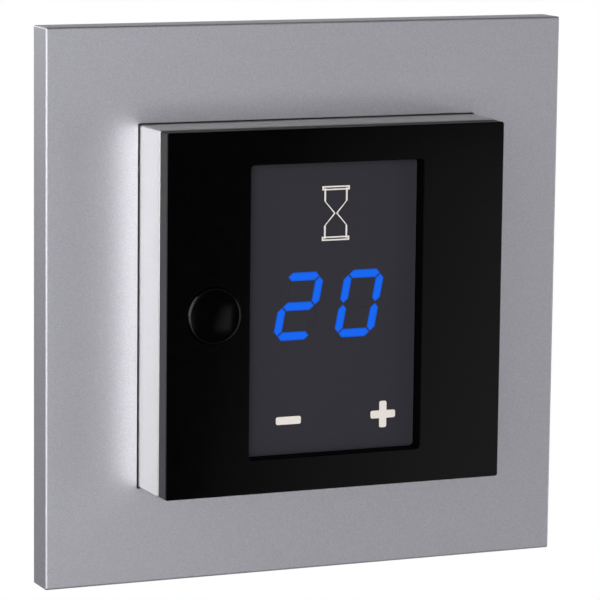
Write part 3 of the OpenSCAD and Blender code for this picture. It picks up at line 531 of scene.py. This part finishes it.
black_gloss = finish("black_gloss", (0.0006, 0.0006, 0.0007), spread=0.2, grain=2.0, rough=0.07,
                     relief=0.0, shine=0.4)
black_satin = finish("black_satin", (0.0015, 0.0015, 0.0016), grain=0.15, rough=0.42, relief=0.003,
                     shine=0.3)
# Painted shade: the window's walls are matt black with their reflection turned almost off, so that they
# render as dark as shade in the recess.
black_wall_painted_shade = finish("black_wall_painted_shade", (0.0004, 0.0004, 0.0005), grain=0.15, rough=0.5, relief=0.003,
                    shine=0.05)
plate_low, plate_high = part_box("front_plate")
panel_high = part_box("display_panel")[1]
skirt_low, skirt_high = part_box("block_skirt")
button_low, button_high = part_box("push_button")
block_half = plate_high.x
block_corner = 0.35 * mm
face_y = plate_low.y
seat_y = skirt_low.y
panel_flange = 0.8 * mm
window_x = panel_high.x - panel_flange
window_z = panel_high.z - panel_flange
window_corner = 0.6 * mm
window_lip = 0.12 * mm
plate_edge = 0.1 * mm
fine_edge = 0.05 * mm
skirt_wall = 1.6 * mm
spigot_gap = 0.05 * mm
spigot_wall = 0.9 * mm
spigot_depth = 1.5 * mm
spigot_outer = block_half - skirt_wall - spigot_gap
spigot_inner = spigot_outer - spigot_wall
spigot_end = seat_y + spigot_depth
plate_corners = round_corners(
    [(block_half, seat_y), (block_half, face_y), (window_x, face_y), (window_x, seat_y),
     (spigot_inner, seat_y), (spigot_inner, spigot_end),
     (spigot_outer, spigot_end), (spigot_outer, seat_y)],
    [fine_edge, plate_edge, window_lip] + [fine_edge] * 5)

button_x = (button_low.x + button_high.x) / 2
button_radius = (button_high.x - button_low.x) / 2
button_gap = 0.12 * mm
hole_margin = 0.4 * mm
hole_cells = 12
hole_radius = button_radius + button_gap
hole_half = hole_radius + hole_margin
hole_lines = np.linspace(-button_x + hole_half, -button_x - hole_half, hole_cells + 1)
hole_front = np.stack([hole_lines, np.full_like(hole_lines, face_y)], axis=1)
hole_rear = np.stack([hole_lines[::-1], np.full_like(hole_lines, seat_y)], axis=1)
plate_section = np.concatenate([
    plate_corners[:2].reshape(-1, 2), hole_front, plate_corners[2:4].reshape(-1, 2), hole_rear,
    plate_corners[4:].reshape(-1, 2)])
lip_reach = 2 * window_lip
block_start = spigot_inner - plate_edge
plate_marks = [window_x, window_x + lip_reach, block_start, block_half]
marks_z = [window_z, window_z + lip_reach, block_start, block_half]
marks_corner = [window_corner, window_corner + lip_reach, block_corner, block_corner]
plate_half_z = np.interp(plate_section[:, 0], plate_marks, marks_z)
plate_corner = np.interp(plate_section[:, 0], plate_marks, marks_corner)
plate_stops = ring_stops(np.linspace(-hole_half, hole_half, hole_cells + 1))
plate_points = ring(plate_section[:, 0], plate_half_z, plate_corner, plate_section[:, 1], plate_stops)
corner_rows = plate_corners.shape[1]
front_rows = list(range(2 * corner_rows, 2 * corner_rows + hole_cells + 1))
rear_rows = list(range(4 * corner_rows + hole_cells + 1, 4 * corner_rows + 2 * hole_cells + 2))
left_stops = list(np.flatnonzero((plate_stops[2] == -1) & ~np.isnan(plate_stops[7])))
plate_skip = np.zeros(plate_points.shape[:2], bool)
for rows in (front_rows, rear_rows):
    plate_skip[rows[0]:rows[-1], left_stops[0]:left_stops[-1]] = True
front_rim = rim(plate_points, front_rows, left_stops)
rear_rim = rim(plate_points, rear_rows[::-1], left_stops)
rim_angle = np.arctan2(front_rim[:, 2], front_rim[:, 0] - button_x)
lip_turn = np.linspace(0, math.pi / 2, 4)
lip_growth = np.concatenate([[2 * fine_edge], fine_edge * (1 - np.sin(lip_turn))])
lip_radius = hole_radius + lip_growth
lip_depth = np.concatenate([[0], fine_edge * (1 - np.cos(lip_turn))])
hole_r = np.concatenate([lip_radius, lip_radius[::-1]])
hole_y = np.concatenate([face_y + lip_depth, seat_y - lip_depth[::-1]])
hole_wall = np.stack([
    button_x + hole_r[:, None] * np.cos(rim_angle),
    np.broadcast_to(hole_y[:, None], (len(hole_y), len(rim_angle))),
    hole_r[:, None] * np.sin(rim_angle)], axis=-1)
hole_points = np.concatenate([front_rim[None], hole_wall, rear_rim[None]])

post_radius = 2 * mm
post_inset = 0.45 * mm
post_at = spigot_outer - post_inset - post_radius
post_root = seat_y - 0.5 * mm
post_end = plate_high.y
bore_radius = 0.75 * mm
bore_end = post_end - 4 * mm
post_profile = np.array([
    (0, post_root), (post_radius, post_root), (post_radius, post_end),
    (bore_radius, post_end), (bore_radius, bore_end), (0, bore_end)])
posts = [grid(turned(post_profile, (x, z), 48), wrap_columns=True)
         for x in (-post_at, post_at) for z in (-post_at, post_at)]
plate_grid = grid(plate_points, True, True, plate_skip)
hole_grid = grid(hole_points, wrap_columns=True)
plate_piece = shell("front_plate_shell", black_gloss, "base", "black_gloss", "front_plate",
                    plate_grid, hole_grid, *posts)
front_slant = -0.99
side_slant = -0.7
plate_piece.data.materials.append(black_satin)
plate_piece.data.materials.append(black_wall_painted_shade)
plate_faces = plate_piece.data.polygons
plate_slant = np.empty(3 * len(plate_faces))
plate_place = np.empty(3 * len(plate_faces))
plate_faces.foreach_get("normal", plate_slant)
plate_faces.foreach_get("center", plate_place)
plate_slant = plate_slant.reshape(-1, 3)[:, 1]
plate_place = np.abs(plate_place.reshape(-1, 3))
at_window = (plate_place[:, 0] < window_x + window_lip) & (plate_place[:, 2] < window_z + window_lip)
# Faces in the window's walls get the painted-shade black; the sides get the satin black.
plate_tone = np.where(at_window & (plate_slant > front_slant), 2, plate_slant > side_slant)
plate_faces.foreach_set("material_index", plate_tone.astype(int))

# Display
# A panel of matt grey film behind the window. Clear light pipes through it form the digits, and
# the hourglass and the touch signs are printed on it in warm white.
film_shine = 0.25
panel_film = finish("panel_film", (0.0245, 0.0235, 0.031), spread=0.04, grain=0.15, rough=0.6,
                    relief=0.001, shine=film_shine)
dark_pipe = finish("dark_pipe", (0.024, 0.023, 0.0305), spread=0.04, grain=0.15, rough=0.6,
                   relief=0.001, shine=film_shine)
warm_print = finish("warm_print", (0.80, 0.745, 0.70), spread=0.03, grain=0.2, rough=0.6)
wear(panel_film, "display_panel")
wear(dark_pipe, "unlit_segments")
wear(warm_print, "hourglass_mark", "touch_marks")

pipe_rim = 0.3 * mm
pipe_slant = -0.9
lit_pipe = finish("lit_pipe", (0.001, 0.01, 0.08), spread=0.1, grain=1.5, rough=0.6, shine=film_shine)
lit_nodes = lit_pipe.node_tree.nodes
lit_shader = lit_nodes["Principled BSDF"]
lit_core = lit_nodes.new("ShaderNodeAttribute")
lit_core.attribute_name = "core"
lit_ramp = lit_nodes.new("ShaderNodeValToRGB")
lit_ramp.color_ramp.elements[0].color = (0.0, 0.075, 0.55, 1)
lit_ramp.color_ramp.elements[1].color = (0.0, 0.12, 0.79, 1)
lit_pipe.node_tree.links.new(lit_core.outputs["Fac"], lit_ramp.inputs["Fac"])
lit_pipe.node_tree.links.new(lit_ramp.outputs["Color"], lit_shader.inputs["Emission Color"])
lit_shader.inputs["Emission Strength"].default_value = 1
pipe_mesh = merged_copy("lit_segments")
pipe_work = bmesh.new()
pipe_work.from_mesh(pipe_mesh)
pipe_core = pipe_work.verts.layers.float.new("core")
pipe_fronts = [face for face in pipe_work.faces if face.normal.y < pipe_slant]
bmesh.ops.inset_individual(pipe_work, faces=pipe_fronts, thickness=pipe_rim)
for front in pipe_fronts:
    for corner in front.verts:
        corner[pipe_core] = 1
pipe_work.to_mesh(pipe_mesh)
pipe_work.free()
place_piece(pipe_mesh, lit_pipe, "base", "lit_segments")

# Push button
# A black moulding with a low polished dome and a rounded rim. It slides in its hole. Two lugs
# behind the plate keep it in, and its stem stands on the key switch's plunger.
dome_top = button_low.y
dome_rise = 0.25 * mm
dome_radius = (button_radius ** 2 + dome_rise ** 2) / (2 * dome_rise)
rim_round = 0.35 * mm
rim_centre = button_radius - rim_round
rim_start = math.asin(rim_centre / (dome_radius - rim_round))
rim_y = dome_top + dome_radius - (dome_radius - rim_round) * math.cos(rim_start)
dome_turn = np.linspace(0, rim_start, 24, endpoint=False)
rim_turn = np.linspace(rim_start, math.pi / 2, 17)
lug_width = 5 * mm
lug_growth = 0.5 * mm
lug_gap = 0.05 * mm
lug_depth = 0.8 * mm
lug_y = seat_y + lug_gap
lug_end = lug_y + lug_depth
stem_radius = 2.2 * mm
stem_end = button_high.y
button_profile = np.concatenate([
    np.stack([dome_radius * np.sin(dome_turn), dome_top + dome_radius * (1 - np.cos(dome_turn))], axis=1),
    np.stack([rim_centre + rim_round * np.sin(rim_turn), rim_y - rim_round * np.cos(rim_turn)], axis=1),
    [(button_radius, lug_y), (button_radius, lug_y), (button_radius, lug_end),
     (stem_radius, lug_end), (stem_radius, stem_end), (0, stem_end)]])
button_growth = np.zeros(len(button_profile))
button_growth[-5:-3] = lug_growth
button_points = turned(button_profile, (button_x, 0), lug=(lug_width, button_growth))
button_black = finish("button_black", (0.0003, 0.0003, 0.0003), spread=0.2, grain=2.0, rough=0.1,
                      relief=0.0, shine=0.4)
shell("button_shell", button_black, "button", "black_gloss", "push_button",
      grid(button_points, wrap_columns=True))


# Block skirt
# The silver side wall of the block, moulded and painted. Its silver is lighter than the frame's:
# partly its own paint and partly painted light for the strong light on its left side. It snaps
# over the carrier's lugs, for which it has a slot in each side. The front plate sits on its front
# edge, which stands a little proud of the plate all round.
def silver_paint(name, colour, rough, sparkle):
    """Metal flakes in clear lacquer: every cell of a fine pattern is a flake with a tone of its
    own, a little below the paint's colour or up to the sparkle's share above it."""
    material = finish(name, colour, spread=0.012, grain=0.3, rough=rough, metal=1.0, relief=0.0)
    nodes = material.node_tree.nodes
    link = material.node_tree.links.new
    flakes = nodes.new("ShaderNodeTexVoronoi")
    flakes.inputs["Scale"].default_value = 1 / flake_size
    tone = nodes.new("ShaderNodeValToRGB")
    for element, level in zip(tone.color_ramp.elements, (1 - 0.4 * sparkle, 1 + sparkle)):
        element.color = (level, level, level, 1)
    tint = nodes.new("ShaderNodeVectorMath")
    tint.operation = "MULTIPLY"
    link(nodes["place"].outputs["Object"], flakes.inputs["Vector"])
    link(flakes.outputs["Color"], tone.inputs["Fac"])
    link(nodes["tones"].outputs["Color"], tint.inputs[0])
    link(tone.outputs["Color"], tint.inputs[1])
    link(tint.outputs["Vector"], nodes["Principled BSDF"].inputs["Base Color"])
    return material


flake_size = 0.14 * mm
# Painted light: this silver is set lighter than the frame's, partly to stand for the light on the skirt's
# side.
skirt_paint_with_painted_light = silver_paint("skirt_paint_with_painted_light", (0.83, 0.83, 0.803), 0.35, 0.05)
skirt_edge = 0.3 * mm
skirt_step = 0.1 * mm
skirt_outer = block_half + skirt_step
skirt_inner = block_half - skirt_wall
skirt_end = skirt_high.y
snap_half = 4 * mm
snap_low = skirt_end - 2.15 * mm
snap_high = skirt_end - 0.75 * mm
skirt_corners = round_corners(
    [(skirt_outer, skirt_end), (skirt_outer, seat_y), (skirt_inner, seat_y), (skirt_inner, skirt_end)],
    [fine_edge, skirt_edge, fine_edge, fine_edge])
skirt_section = np.concatenate([
    skirt_corners[0], [(skirt_outer, snap_high), (skirt_outer, snap_low)],
    skirt_corners[1], skirt_corners[2],
    [(skirt_inner, snap_low), (skirt_inner, snap_high)], skirt_corners[3]])
skirt_half, skirt_y = skirt_section.T
skirt_stops = ring_stops((-snap_half, snap_half))
skirt_points = ring(skirt_half, skirt_half, block_corner, skirt_y, skirt_stops)
skirt_rows = skirt_corners.shape[1]
outer_rows = [skirt_rows, skirt_rows + 1]
inner_rows = [3 * skirt_rows + 3, 3 * skirt_rows + 2]
skirt_skip = np.zeros(skirt_points.shape[:2], bool)
snap_walls = []
snap_stops = np.flatnonzero(~np.isnan(skirt_stops[6]) | ~np.isnan(skirt_stops[7])).reshape(4, 2)
for pair in snap_stops.tolist():
    skirt_skip[outer_rows[0], pair[0]] = True
    skirt_skip[inner_rows[1], pair[0]] = True
    walls = np.stack([rim(skirt_points, outer_rows, pair), rim(skirt_points, inner_rows, pair)])
    snap_walls.append(grid(walls, wrap_columns=True))
shell("skirt_shell", skirt_paint_with_painted_light, "base", "silver_skirt", "block_skirt",
      grid(skirt_points, True, True, skirt_skip), *snap_walls)

# Cover frame
# One square moulding, painted silver, with a hollow back and a collar round its opening. Four
# steel clips behind it grip the lugs of the mounting plate.
frame_paint = silver_paint("frame_paint", (0.73, 0.725, 0.79), 0.5, 0.16)
frame_low, frame_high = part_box("cover_frame")
frame_half = frame_high.x
front_y = frame_low.y
front_edge = 0.3 * mm
frame_corner = 0.25 * mm
opening_edge = 0.05 * mm
back_edge = 0.1 * mm
opening_gap = 0.3 * mm
collar_wall = 1.2 * mm
collar_recess = 0.4 * mm
skin = 1.8 * mm
rim_wall = 2 * mm
opening_half = block_half + opening_gap
collar_half = opening_half + collar_wall
collar_end = skirt_end - collar_recess
skin_back = front_y + skin
rim_inner = frame_half - rim_wall
frame_corners = round_corners(
    [(frame_half, 0), (frame_half, front_y), (opening_half, front_y), (opening_half, collar_end),
     (collar_half, collar_end), (collar_half, skin_back), (rim_inner, skin_back), (rim_inner, 0)],
    [back_edge, front_edge, opening_edge] + [back_edge] * 5)
section_half, section_y = frame_corners.reshape(-1, 2).T
frame_points = ring(section_half, section_half, frame_corner, section_y, ring_stops())
shell("frame_shell", frame_paint, "base", "silver_paint", "cover_frame", grid(frame_points, True, True))
wear(spring_steel, "frame_clips")
